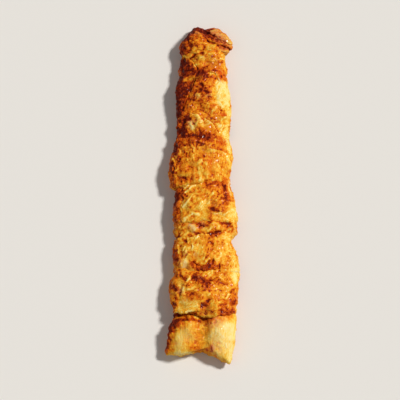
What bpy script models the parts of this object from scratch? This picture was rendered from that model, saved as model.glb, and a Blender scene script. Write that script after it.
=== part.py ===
"""Grilled chicken kebab: ten marinated chicken pieces packed tightly in one row.

The row lies along Y with its far end at +Y, and every piece rests flat at z = 0.
X is across the row, with the right flank at +X. All sizes are in metres.
Each piece is a block cage shaped by its own sizes, which Subdivision Surface makes soft.
"""
from collections import namedtuple
from math import exp, hypot, pi, sin, sqrt

import bmesh
import bpy

MM = 0.001

# Sizes that all the pieces share.
GAP = 0.4 * MM                  # free space between two neighbours where they press together
SOFTENING = 0.6 * MM            # how far a cage stands proud of the soft flank that it makes
END_SOFTENING = 1.6 * MM        # the same at the two free ends of the row
CROWN_SOFTENING = 0.9 * MM      # the same at the crown
MIDDLE_SHIFT = 0.9 * MM         # sets the row's middle line so that the whole box is centred
JOINT_HEIGHT = 24.0 * MM        # height over which a joint's lean is measured
BULGE_REACH = 11.0 * MM         # half width of the bulge in a joint
FLANK_ROUNDNESS = 0.86          # 0 gives a square cross-section, 1 a round one
FLAT_UNDERSIDE = 0.70           # share of the half width that lies flat on the ground
TOE_LIFT = 3.2 * MM             # how far the underside lifts at its two long edges
CELLS_UP = 3                    # cage cells in the height of every piece
END_CELL = 3.4 * MM             # length of the narrow cage cell at both ends, which sets their rounding
UNEVENNESS = 0.8 * MM           # height of the shallow waves of cooked meat on the top
WAVE_ACROSS = 15.0 * MM         # length of those waves across the row
WAVE_ALONG = 19.0 * MM          # and along it

# A joint is the sheet where two pieces meet: its place along Y, how far it slants in Y
# for each metre in X, how far its top leans along Y, and one rounded bulge at bulge_x.
Joint = namedtuple("Joint", "place slant lean bulge bulge_x")

# Far free end first, near free end last.
JOINTS = [
    Joint(147.8 * MM, 0.03, -3.0 * MM, 0.0 * MM, 0.0 * MM),
    Joint(127.5 * MM, 0.02, 1.5 * MM, 2.0 * MM, 12.0 * MM),
    Joint(105.5 * MM, -0.05, 2.5 * MM, 4.0 * MM, 8.0 * MM),
    Joint(67.5 * MM, -0.03, 2.0 * MM, 2.0 * MM, -6.0 * MM),
    Joint(48.0 * MM, 0.02, -2.0 * MM, -1.0 * MM, 0.0 * MM),
    Joint(10.0 * MM, 0.17, -2.5 * MM, 0.5 * MM, 0.0 * MM),
    Joint(-25.5 * MM, 0.02, -3.0 * MM, 2.0 * MM, 6.0 * MM),
    Joint(-43.5 * MM, -0.02, 2.0 * MM, 3.0 * MM, 0.0 * MM),
    Joint(-67.5 * MM, -0.11, -3.0 * MM, -2.5 * MM, -5.0 * MM),
    Joint(-107.5 * MM, 0.00, -5.0 * MM, -2.5 * MM, 4.0 * MM),
    Joint(-147.0 * MM, -0.12, 1.0 * MM, 7.0 * MM, -2.0 * MM),
]

# Widths are the distances of the left and right flank from the row's middle line, and
# crowns the heights, each given at the near joint, halfway and at the far joint.
Widths = namedtuple("Widths", "near middle far")

# A lump raises the top round one place, and a fold is a groove along a line across it.
Lump = namedtuple("Lump", "x y reach height")
Fold = namedtuple("Fold", "x1 y1 x2 y2 reach depth")

Piece = namedtuple("Piece", "name left right crown relief cells colour roughness")

PIECES = [
    Piece(
        "chicken_01_far_end",
        Widths(20.5 * MM, 18.8 * MM, 7.5 * MM),
        Widths(19.0 * MM, 25.8 * MM, 8.0 * MM),
        Widths(21.0 * MM, 24.0 * MM, 17.5 * MM),
        [
            Lump(-7.0 * MM, 141.0 * MM, 7.0 * MM, 2.5 * MM),
            Lump(13.0 * MM, 143.5 * MM, 7.0 * MM, 3.0 * MM),
            Fold(2.0 * MM, 147.0 * MM, 22.0 * MM, 132.0 * MM, 3.6 * MM, 5.0 * MM),
        ],
        (8, 4),
        (0.46, 0.13, 0.035),
        0.45,
    ),
    Piece(
        "chicken_02",
        Widths(22.5 * MM, 21.5 * MM, 18.5 * MM),
        Widths(20.0 * MM, 19.5 * MM, 17.5 * MM),
        Widths(21.0 * MM, 23.5 * MM, 20.5 * MM),
        [
            Lump(-4.0 * MM, 120.0 * MM, 9.0 * MM, 1.5 * MM),
            Fold(-21.0 * MM, 109.0 * MM, -8.0 * MM, 111.0 * MM, 3.5 * MM, 2.0 * MM),
        ],
        (6, 3),
        (0.60, 0.25, 0.045),
        0.45,
    ),
    Piece(
        "chicken_03",
        Widths(23.5 * MM, 24.8 * MM, 22.0 * MM),
        Widths(23.5 * MM, 22.8 * MM, 20.5 * MM),
        Widths(22.0 * MM, 26.5 * MM, 24.0 * MM),
        [
            Lump(8.0 * MM, 104.0 * MM, 7.0 * MM, 2.5 * MM),
            Fold(-13.0 * MM, 104.0 * MM, -19.0 * MM, 78.0 * MM, 3.6 * MM, 3.5 * MM),
        ],
        (6, 5),
        (0.62, 0.27, 0.05),
        0.42,
    ),
    Piece(
        "chicken_04",
        Widths(25.0 * MM, 25.0 * MM, 23.2 * MM),
        Widths(23.3 * MM, 23.6 * MM, 23.4 * MM),
        Widths(22.0 * MM, 24.5 * MM, 23.5 * MM),
        [
            Lump(-6.0 * MM, 63.0 * MM, 7.0 * MM, 2.5 * MM),
            Fold(-16.0 * MM, 57.0 * MM, -10.0 * MM, 49.0 * MM, 3.5 * MM, 2.0 * MM),
        ],
        (6, 3),
        (0.42, 0.14, 0.04),
        0.45,
    ),
    Piece(
        "chicken_05",
        Widths(29.0 * MM, 30.6 * MM, 24.4 * MM),
        Widths(20.6 * MM, 25.8 * MM, 22.2 * MM),
        Widths(25.0 * MM, 28.0 * MM, 23.5 * MM),
        [
            Lump(-4.0 * MM, 22.0 * MM, 8.0 * MM, 1.5 * MM),
            Fold(8.0 * MM, 44.0 * MM, 20.0 * MM, 36.0 * MM, 3.5 * MM, 1.8 * MM),
        ],
        (6, 5),
        (0.64, 0.27, 0.045),
        0.42,
    ),
    Piece(
        "chicken_06",
        Widths(27.2 * MM, 26.4 * MM, 23.8 * MM),
        Widths(31.0 * MM, 26.9 * MM, 20.8 * MM),
        Widths(24.5 * MM, 27.0 * MM, 24.0 * MM),
        [
            Lump(-10.0 * MM, -17.0 * MM, 8.0 * MM, 1.5 * MM),
            Fold(6.0 * MM, -13.0 * MM, 15.0 * MM, -13.5 * MM, 3.5 * MM, 3.0 * MM),
        ],
        (6, 5),
        (0.64, 0.29, 0.05),
        0.42,
    ),
    Piece(
        "chicken_07",
        Widths(25.2 * MM, 26.4 * MM, 27.0 * MM),
        Widths(24.6 * MM, 29.4 * MM, 31.0 * MM),
        Widths(23.0 * MM, 25.0 * MM, 23.0 * MM),
        [
            Lump(-11.0 * MM, -31.0 * MM, 6.0 * MM, 2.0 * MM),
            Lump(9.0 * MM, -29.0 * MM, 7.0 * MM, 1.8 * MM),
        ],
        (6, 3),
        (0.58, 0.23, 0.05),
        0.44,
    ),
    Piece(
        "chicken_08",
        Widths(26.8 * MM, 28.6 * MM, 25.4 * MM),
        Widths(32.0 * MM, 30.0 * MM, 25.0 * MM),
        Widths(24.0 * MM, 27.0 * MM, 24.0 * MM),
        [
            Lump(2.0 * MM, -55.0 * MM, 9.0 * MM, 1.5 * MM),
            Fold(-10.0 * MM, -61.0 * MM, -5.0 * MM, -67.0 * MM, 3.5 * MM, 2.0 * MM),
        ],
        (6, 3),
        (0.64, 0.28, 0.05),
        0.42,
    ),
    Piece(
        "chicken_09",
        Widths(27.2 * MM, 30.6 * MM, 25.4 * MM),
        Widths(28.4 * MM, 30.6 * MM, 31.8 * MM),
        Widths(26.0 * MM, 28.0 * MM, 24.5 * MM),
        [
            Lump(-13.0 * MM, -98.0 * MM, 9.0 * MM, 1.5 * MM),
            Fold(-10.0 * MM, -76.0 * MM, 25.0 * MM, -80.0 * MM, 3.6 * MM, 2.5 * MM),
        ],
        (6, 5),
        (0.60, 0.25, 0.05),
        0.44,
    ),
    Piece(
        "chicken_10_near_end",
        Widths(34.2 * MM, 31.6 * MM, 28.6 * MM),
        Widths(24.0 * MM, 28.6 * MM, 28.2 * MM),
        Widths(19.5 * MM, 23.0 * MM, 21.0 * MM),
        [
            Lump(-16.0 * MM, -122.0 * MM, 11.0 * MM, 3.0 * MM),
            Lump(16.0 * MM, -122.0 * MM, 11.0 * MM, 3.0 * MM),
            Fold(0.0 * MM, -112.0 * MM, 2.0 * MM, -139.0 * MM, 4.0 * MM, 4.5 * MM),
        ],
        (8, 5),
        (0.72, 0.42, 0.12),
        0.40,
    ),
]


def remove_scene_objects():
    """Empty the scene, so that only this kebab is in it."""
    for old_object in list(bpy.data.objects):
        bpy.data.objects.remove(old_object, do_unlink=True)


def make_collection(name):
    """Return a new collection linked to the scene."""
    collection = bpy.data.collections.new(name)
    bpy.context.scene.collection.children.link(collection)
    return collection


def chicken_material(name, colour, roughness):
    """Return the plain seared-chicken material of one piece."""
    material = bpy.data.materials.new(name)
    material.use_nodes = True
    shader = material.node_tree.nodes["Principled BSDF"]
    shader.inputs["Base Color"].default_value = (*colour, 1.0)
    shader.inputs["Roughness"].default_value = roughness
    shader.inputs["Metallic"].default_value = 0.0
    return material


def through_three(values, along):
    """Return the smooth curve through a near, middle and far value, along from 0 to 1."""
    near_share = (1.0 - along) * (1.0 - 2.0 * along)
    middle_share = 4.0 * along * (1.0 - along)
    far_share = along * (2.0 * along - 1.0)
    return near_share * values.near + middle_share * values.middle + far_share * values.far


def joint_y(joint, x, z):
    """Return where a joint's sheet lies along Y at one place across and one height."""
    lean = joint.lean * (z / JOINT_HEIGHT - 0.5)
    bulge = joint.bulge * exp(-(((x - joint.bulge_x) / BULGE_REACH) ** 2))
    return joint.place + joint.slant * x + lean + bulge


def distance_to_line(x, y, fold):
    """Return the distance in plan from a point to a fold's line."""
    run_x = fold.x2 - fold.x1
    run_y = fold.y2 - fold.y1
    share = ((x - fold.x1) * run_x + (y - fold.y1) * run_y) / (run_x ** 2 + run_y ** 2)
    share = min(1.0, max(0.0, share))
    return hypot(x - fold.x1 - share * run_x, y - fold.y1 - share * run_y)


def top_relief(piece, x, y):
    """Return how far the waves, lumps and folds of a piece raise its top at one place."""
    wave_across = sin(2.0 * pi * (x / WAVE_ACROSS + y / WAVE_ALONG / 3.0))
    wave_along = sin(2.0 * pi * (y / WAVE_ALONG - x / WAVE_ACROSS / 4.0))
    height = UNEVENNESS * wave_across * wave_along
    for feature in piece.relief:
        if isinstance(feature, Lump):
            distance = hypot(x - feature.x, y - feature.y)
            height += feature.height * exp(-((distance / feature.reach) ** 2))
        else:
            distance = distance_to_line(x, y, feature)
            height -= feature.depth * exp(-((distance / feature.reach) ** 2))
    return height


def shape_point(piece, near_joint, far_joint, point):
    """Return the place in the kebab of one point of the unit cage (-1 to 1 each way)."""
    across, along, up = point
    share_along = (along + 1.0) / 2.0
    share_up = (up + 1.0) / 2.0
    left = through_three(piece.left, share_along) + SOFTENING
    right = through_three(piece.right, share_along) + SOFTENING
    crown = through_three(piece.crown, share_along) + CROWN_SOFTENING

    # The cross-section is a squared circle, laid flat underneath.
    round_across = across * sqrt(1.0 - FLANK_ROUNDNESS * up * up / 2.0)
    round_across /= sqrt(1.0 - FLANK_ROUNDNESS * (2.0 * share_up - 1.0) ** 2 / 4.0)
    x = (right - left) / 2.0 + (right + left) / 2.0 * round_across
    drop = 1.0 - sqrt(1.0 - FLANK_ROUNDNESS * across * across / 2.0)
    z = crown * share_up * (1.0 - drop * share_up)
    beyond_flat = max(0.0, abs(across) - FLAT_UNDERSIDE) / (1.0 - FLAT_UNDERSIDE)
    z += TOE_LIFT * beyond_flat * (1.0 - share_up)

    near_y = joint_y(near_joint, x, z) + GAP / 2.0
    far_y = joint_y(far_joint, x, z) - GAP / 2.0
    y = near_y + (far_y - near_y) * share_along
    z += top_relief(piece, x, y) * share_up ** 3
    return x + MIDDLE_SHIFT, y, z


def even_cuts(cells):
    """Return the places of the cuts that give a unit block this many even cells."""
    return [2.0 * cut / cells - 1.0 for cut in range(1, cells)]


def cuts_near_ends(cells, length):
    """Return the places of the cuts that give a narrow cell at each end, even ones between."""
    first_cut = 2.0 * END_CELL / length - 1.0
    between = cells - 2
    return [first_cut - 2.0 * first_cut * cut / between for cut in range(between + 1)]


def block_cage(name, cells_across, cells_along, length):
    """Return a closed unit block cut into cells, narrow ones at its two ends along Y."""
    cage = bmesh.new()
    bmesh.ops.create_cube(cage, size=2.0)
    cuts = (even_cuts(cells_across), cuts_near_ends(cells_along, length), even_cuts(CELLS_UP))
    for axis, places in enumerate(cuts):
        normal = [0.0, 0.0, 0.0]
        normal[axis] = 1.0
        for cut in places:
            place = [0.0, 0.0, 0.0]
            place[axis] = cut
            everything = cage.verts[:] + cage.edges[:] + cage.faces[:]
            bmesh.ops.bisect_plane(cage, geom=everything, plane_co=place, plane_no=normal)
    mesh = bpy.data.meshes.new(name)
    cage.to_mesh(mesh)
    cage.free()
    return mesh


def chicken_piece(piece, near_joint, far_joint, collection):
    """Make one chicken piece between its two joints."""
    mesh = block_cage(piece.name, *piece.cells, far_joint.place - near_joint.place)
    for vertex in mesh.vertices:
        vertex.co = shape_point(piece, near_joint, far_joint, vertex.co)
    mesh.shade_smooth()
    mesh.materials.append(chicken_material(piece.name + "_meat", piece.colour, piece.roughness))

    chicken = bpy.data.objects.new(piece.name, mesh)
    collection.objects.link(chicken)
    soften = chicken.modifiers.new("soften", "SUBSURF")
    soften.levels = 1
    soften.render_levels = 1
    return chicken


def widen_free_ends(joints):
    """Return the joints with the two free ends set out to make up for the softening."""
    far_end = joints[0]._replace(place=joints[0].place + END_SOFTENING)
    near_end = joints[-1]._replace(place=joints[-1].place - END_SOFTENING)
    return [far_end, *joints[1:-1], near_end]


def build_kebab():
    """Make the whole row of chicken, far end first."""
    remove_scene_objects()
    collection = make_collection("chicken_kebab")
    joints = widen_free_ends(JOINTS)
    for number, piece in enumerate(PIECES):
        far_joint = joints[number]
        near_joint = joints[number + 1]
        chicken_piece(piece, near_joint, far_joint, collection)


build_kebab()
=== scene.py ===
from collections import namedtuple
from functools import partial
from math import cos, radians, sin

import bpy
import numpy as np
from mathutils import Euler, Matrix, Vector


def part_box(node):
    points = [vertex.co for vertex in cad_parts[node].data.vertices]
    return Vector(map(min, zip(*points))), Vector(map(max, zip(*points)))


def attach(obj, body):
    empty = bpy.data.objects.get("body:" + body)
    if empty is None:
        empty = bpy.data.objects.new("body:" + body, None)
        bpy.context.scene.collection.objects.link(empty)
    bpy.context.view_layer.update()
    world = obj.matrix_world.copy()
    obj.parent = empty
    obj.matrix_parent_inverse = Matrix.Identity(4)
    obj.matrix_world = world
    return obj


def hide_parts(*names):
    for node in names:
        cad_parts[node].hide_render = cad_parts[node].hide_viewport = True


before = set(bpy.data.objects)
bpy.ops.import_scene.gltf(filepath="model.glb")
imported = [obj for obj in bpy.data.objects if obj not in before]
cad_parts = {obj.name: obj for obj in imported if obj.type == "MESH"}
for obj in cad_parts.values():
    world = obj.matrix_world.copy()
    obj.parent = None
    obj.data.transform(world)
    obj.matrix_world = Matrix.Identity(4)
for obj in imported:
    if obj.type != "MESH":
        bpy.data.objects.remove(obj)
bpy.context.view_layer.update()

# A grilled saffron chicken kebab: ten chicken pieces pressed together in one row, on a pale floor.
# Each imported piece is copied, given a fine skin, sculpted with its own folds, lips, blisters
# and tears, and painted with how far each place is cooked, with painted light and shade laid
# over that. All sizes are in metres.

MM = 0.001

SKIN_VOXEL = 0.9 * MM  # cell of the even skin before it is halved
SKIN_SMOOTHING = 7  # smoothing steps of the even skin
WELD = 0.01 * MM                        # merge distance for the copied facets
CREST_PASSES = 15                       # smoothing steps behind the crest attribute
CREST_HEIGHT = 0.32 * MM                # relief that counts as a full crest
FLAT_UNDER = 0.6 * MM                   # what lies lower than this rests on the floor
LOOSE_ABOVE = 10.0 * MM                 # what lies lower than this is pulled up less

# Where neighbours press on each other.
PRESS_REACH = 5.0 * MM                  # how far from a joint a piece is squeezed square
PRESS_STEPS = 8                         # cross-sections measured over that reach
PRESS_SHARES = (0.55, 0.0, 0.90)        # x, y, z: 1 squeezes fully square, 0 leaves round
PRESS_SLICE = 0.8 * SKIN_VOXEL          # least half thickness of a cross-section
PRESS_HEIGHT = 0.4                      # height that the squeeze centres on, as a share of the top
PRESS_OVERLAP = 2.2 * MM                # how far an end moves into its neighbour
PRESS_WAVER = 0.9 * MM                  # how far the line where they meet wanders
WAVER_CELL = 7.0 * MM                   # over what length
JOINT_SPAN = 0.6                        # share of the width that a joint's curve follows
JOINT_PLACES = 9                        # places measured along it
JOINT_STRIP = 1.6 * MM                  # half the width of one such place

# Strokes.
FACES_UP = (-0.15, 0.35)                # rise of the skin between no and full effect
RING_WALL = (0.8, 0.30)                 # place and width of a ring's wall, in reaches
RING_DIMPLE = (0.9, 0.55)               # depth and width of the dimple inside it
LIP_EDGE = 0.45 * MM                    # half the width of the step at a lip's edge
LIP_GUTTER = (0.45, 0.8 * MM)           # depth and width of the gutter beside it
LIP_OVERHANG = (0.7, 0.6 * MM, 1.0 * MM)  # amount, place and width of what hangs over
MARK_RAGGED = 0.42                      # how far the edge of a mark wanders, in reaches
MARK_FALL = 2.4                         # higher gives a mark a flatter middle

# Loose shreds and pits, in millimetres where they are lengths.
SHREDS = 16                             # thin raised strands on each piece
PITS = 14                               # small pits on each piece, darker inside
SHRED_AREA = ((-0.85, -0.9), (0.8, 0.9))
SHRED_TURN = 40.0                       # degrees from the fibres
SHRED_LENGTH = (2.5, 6.5)
SHRED_BEND = 0.5
SHRED_REACH = (0.65, 0.95)
SHRED_HEIGHT = (0.30, 0.60)
SHRED_PALE = (0.8, 0.05, 0.16)          # reach, least and most amount
PIT_AREA = ((-0.95, -0.95), (0.75, 0.95))
PIT_SIZE = (0.8, 1.6)
PIT_DEPTH = (0.2, 0.6)
PIT_BROWN = (0.04, 0.18)

# Hash behind the random grain.
SEED_STEP = 19.7
HASH_PRIMES = (73856093, 19349663, 83492791)
HASH_MIXER = 1274126177
HASH_VALUES = 20011

# Random grain: (amount, width of its blobs, what is added to the piece's seed).
BODY_SWELLS = [(0.9 * MM, 13.0 * MM, 0), (0.8 * MM, 6.0 * MM, 20)]
STROKE_WANDER = 0.8 * MM                # how far strokes and marks stray from their paths
WANDER_GRAIN = [[(1.0, 5.0 * MM, 40)], [(1.0, 5.0 * MM, 60)]]
RAGGED_GRAIN = [(1.0, 3.0 * MM, 80)]    # frays the edges of marks
RAGGED_FINE = [(0.6, 1.3 * MM, 100)]    # the same on turned grain
DRIFT_GRAIN = [(0.05, 8.0 * MM, 260), (0.03, 4.0 * MM, 280)]
PATCH_GRAIN = [(1.0, 5.5 * MM, 300)]
UNDER_GRAIN = [(0.30, 9.0 * MM, 120)]
FLANK_GRAIN = [(1.0, 5.2 * MM, 320)]
FIBRE_GRAIN = [(1.0, 1.0, 140)]         # in a space squeezed by the two lengths below
FIBRE_SPACE = (9.0 * MM, 1.6 * MM)      # length and width of a fibre
FIBRE_WAVER = 0.25                      # how far fibres wander, in widths
FIBRE_RELIEF = 0.16 * MM

# Relief of the crust: (height, width, seed, share left where uncooked, creased, on turned grain).
CRUST_RELIEF = [
    (0.34 * MM, 3.6 * MM, 160, 0.12, True, False),
    (0.22 * MM, 1.9 * MM, 180, 0.10, True, True),
    (0.44 * MM, 2.9 * MM, 200, 0.15, False, False),
    (0.13 * MM, 0.95 * MM, 340, 0.15, False, True),
]
CRUST_RANGE = (0.10, 0.42)              # doneness between no crust and a full one
FLANK_RANGE = (-0.45, 0.15)             # fall of the skin between top and flank
FLANK_GAIN = 0.6                        # how much deeper the flank's relief is
FLANK_FOLDS = (0.42 * MM, 0.25)         # height, and share left where uncooked

# How far the skin is cooked, besides the marks.
DARKEST = 0.86                          # doneness of the blackest char
LEFT_SEAR_AND_SHADE = 0.24                    # extra doneness of the left flank, turned from the key light: own searing and painted shade
LEFT_SHADE_RANGE = (0.2, 0.9)                 # turn to the left between none and all of it
PATCH_RAGGED = 0.35                     # how far the patches below are frayed
BROWN_PATCHES = (0.10, 0.20, 0.45)      # amount, and grain between none and full
PALE_PATCHES = (0.06, 0.15, 0.45)
UNDER_RANGE = (0.0, 0.6)                # fall of the skin between flank and underside
UNDER_BROWNING = 0.20                   # extra doneness of the underside
UNDER_RAGGED = 0.10                     # how far its browning is frayed

JOINT_SEED = 220                        # added to a piece's number for the seed of its joints

# Fine grain is turned so that its cells lie along no side of a piece.
GRAIN_TURN = np.array(Euler((0.6, 0.5, 0.8)).to_matrix())

# Linear colours that lie over the cooked skin.
TINTS = {
    # painted sheen
    "tan": (0.56, 0.30, 0.115),
    "cream": (0.93, 0.72, 0.42),
    # painted shade
    "olive": (0.40, 0.18, 0.012),
    "juice": (0.66, 0.085, 0.004),
}

# The looks of one piece: how far it is cooked, the angle of its fibres in degrees, and the share
# of loose shreds and pits it has. Paths are in the piece's own plan: (across, along), each from
# -100 to 100 over its box, with 100 at the right flank and at the far edge. Reaches, heights and
# moves are in millimetres.
PLAN_EDGE = 100.0
Look = namedtuple("Look", "slot done fibre_angle looseness relief marks")
Stroke = namedtuple("Stroke", "shape path reach height")
Mark = namedtuple("Mark", "tone path reach amount")

# Strokes that shape the skin.
ridge = partial(Stroke, "ridge")        # a raised line, such as the edge of a muscle strand
groove = partial(Stroke, "groove")      # a sunk line, such as a crease between two folds
lip = partial(Stroke, "lip")            # a sheet whose edge lies over what is right of its path
pull = partial(Stroke, "pull")          # meat drawn out or pushed in, by (right, far, up)
ring = partial(Stroke, "ring")          # a burst blister: a low ring round a dimple

# Marks that colour the skin.
brown = partial(Mark, "doneness")       # meat that the fire cooked further than the rest; where it fills gaps and hollows behind rims, painted shade
tan = partial(Mark, "tan")              # painted sheen: a greyer tan where the wet crust glints and reflects the pale sky
cream = partial(Mark, "cream")          # a pale, hardly coloured place; on raised lumps partly painted light
olive = partial(Mark, "olive")          # painted shade: a darker yellow-brown laid in creases, gaps, hollows and slopes turned from the light
juice = partial(Mark, "juice")          # a translucent orange-red spot of marinade and fat


def pale(path, reach, amount):
    """Meat that the fire barely reached; along the tops of ridges and the edges of lips, partly painted
    highlight.
    """
    return Mark("doneness", path, reach, -amount)


LOOKS = {}

LOOKS["chicken_01_far_end"] = Look("charred_chicken", done=0.45, fibre_angle=-18.0, looseness=1.0, relief=[
    pull([(-40, 92)], 5.0, (0.0, 1.8, 0.6)),
    pull([(-68, 60)], 4.0, (-1.0, 1.0, 0.0)),
    pull([(2, 100)], 2.6, (0.0, -1.2, 0.0)),
    pull([(50, 85)], 4.0, (0.6, 2.6, 0.6)),
    pull([(86, 0)], 3.5, (-1.0, 0.0, 0.0)),
    lip([(12, 58), (32, 30), (60, 2), (90, -20)], 4.0, 1.5),
    lip([(12, 0), (50, -30), (95, -50)], 2.6, 0.9),
    groove([(-10, 70), (5, 20), (8, -15)], 2.2, 1.1),
    groove([(8, -12), (35, -45), (90, -62)], 1.4, 1.0),
    ridge([(-58, 36), (-36, 42), (-20, 28)], 1.6, 0.6),
    ridge([(45, -72), (50, -92), (62, -100)], 0.9, 0.6),
    groove([(-70, -30), (-62, -80)], 1.6, 0.5),
    groove([(-45, -100), (-12, -92)], 1.4, 1.0),
], marks=[
    brown([(-80, 30), (-55, 62), (-30, 90), (-5, 85)], 3.2, 0.44),
    brown([(-58, 42)], 2.8, 0.26),
    brown([(-20, 80), (0, 60), (15, 36), (40, 8), (72, -14)], 3.0, 0.56),
    brown([(-8, 2), (12, 0)], 2.6, 0.22),
    brown([(-45, 2)], 2.2, 0.12),
    brown([(10, -14)], 1.6, 0.36),
    brown([(20, -20), (55, -36), (95, -56)], 1.2, 0.26),
    brown([(50, -60), (92, -66)], 1.0, 0.20),
    brown([(-86, -70), (-78, -95)], 3.4, 0.28),
    brown([(22, 88), (50, 86), (72, 50)], 1.5, 0.26),
    brown([(-62, 0), (-66, -40)], 2.0, 0.06),
    brown([(-15, -95), (-5, -75)], 1.6, 0.22),
    pale([(36, 62), (58, 28), (88, 0)], 3.2, 0.16),
    pale([(15, -2), (50, -28), (60, -33)], 0.9, 0.22),
    pale([(22, -42), (10, -60)], 4.2, 0.20),
    pale([(-35, -75)], 2.6, 0.15),
    pale([(46, -74), (50, -95)], 1.2, 0.28),
    pale([(42, -96), (64, -90)], 2.2, 0.14),
    pale([(60, -78), (88, -82)], 2.0, 0.14),
    brown([(-52, 58), (-26, 66)], 2.6, 0.26),
    olive([(20, -45), (10, -85)], 3.6, 0.45),
    olive([(-35, -80)], 3.0, 0.35),
    tan([(30, 60), (55, 20), (85, -10)], 3.4, 0.70),
    tan([(55, -75), (85, -80)], 2.4, 0.45),
    tan([(-50, 38), (-30, 42)], 1.1, 0.50),
    juice([(-35, 15), (-30, -10)], 3.6, 0.20),
    juice([(40, -85), (90, -74)], 1.8, 0.35),
])

LOOKS["chicken_02"] = Look("golden_chicken", done=0.38, fibre_angle=2.0, looseness=1.0, relief=[
    lip([(-42, -95), (-30, -55), (-45, -5), (-60, 25)], 3.0, 1.1),
    groove([(-62, 30), (-35, 55), (0, 80)], 1.2, 1.0),
    groove([(-60, -78), (-25, -76), (5, -70), (30, -78)], 1.4, 1.0),
    ridge([(-15, 42), (2, 25), (20, 20)], 2.2, 0.7),
    ridge([(10, -45), (28, -62), (40, -70)], 1.0, 0.6),
], marks=[
    brown([(-78, 0), (-66, -35), (-70, -75)], 4.6, 0.40),
    brown([(-55, -35), (-50, -70)], 2.2, 0.22),
    brown([(-60, 28), (-36, 55), (0, 80), (6, 50)], 1.2, 0.30),
    brown([(-60, -72), (-25, -72), (5, -66), (36, -74)], 2.6, 0.70),
    brown([(-50, -100), (0, -100), (25, -86)], 2.6, 0.70),
    brown([(-40, 42), (12, 42)], 3.6, 0.09),
    brown([(12, -82), (34, -84), (52, -80)], 2.4, 0.28),
    brown([(15, -82), (35, -70)], 2.6, 0.20),
    brown([(-5, 10), (20, 20)], 6.5, 0.06),
    brown([(-25, -50), (20, -50)], 2.6, 0.16),
    brown([(35, -10), (60, -5)], 2.0, 0.08),
    pale([(-80, 52), (-50, 60)], 2.4, 0.12),
    pale([(-8, 38), (2, 22)], 2.2, 0.12),
    # Painted shade over the middle of this piece.
    olive([(-30, 20), (10, 55), (30, 20)], 4.0, 0.60),
    olive([(-70, 45)], 3.0, 0.60),
    olive([(-20, -90), (10, -88)], 1.2, 0.50),
    pale([(-38, 0), (-30, -45)], 1.5, 0.14),
    pale([(25, 75)], 3.0, 0.12),
    pale([(84, 65), (94, 0), (94, -50)], 1.4, 0.14),
    pale([(-20, 0), (10, 50)], 4.0, 0.06),
    pale([(-50, -110)], 1.8, 0.40),
    brown([(72, -74), (78, -105)], 3.2, 0.32),
    juice([(74, -76), (80, -110)], 3.2, 1.00),
    juice([(45, 15), (60, -40)], 4.0, 0.20),
    olive([(40, 10), (50, -30)], 4.5, 0.50),
])

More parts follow.
